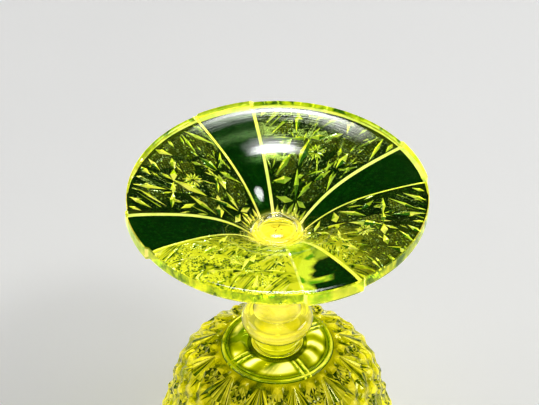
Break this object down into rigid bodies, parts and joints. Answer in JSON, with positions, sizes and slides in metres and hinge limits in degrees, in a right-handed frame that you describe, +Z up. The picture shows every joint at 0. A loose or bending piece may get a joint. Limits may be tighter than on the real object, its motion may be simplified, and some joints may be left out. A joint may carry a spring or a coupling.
{
  "type": "footed glass dish",
  "caption": "Wide flared dish in yellow-green uranium glass with plain panels and cut stars, on a knopped stem and a hollow domed foot.",
  "frame": {"origin": "on the axis, in the plane that the foot stands on", "axes": "+Z up along the axis of the stem, +X to the right and +Y away as the dish is seen from the front"},
  "size_m": [0.13, 0.13, 0.1599],
  "materials": {
    "uranium_glass": "clear yellow-green, fire-polished and mitre-cut",
    "stem_glass": "clear yellow, thick and fire-polished"
  },
  "bodies": {
    "root": {"dish": "uranium_glass", "stem": "stem_glass", "knop": "stem_glass", "merese": "stem_glass", "foot": "uranium_glass"}
  },
  "joints": []
}
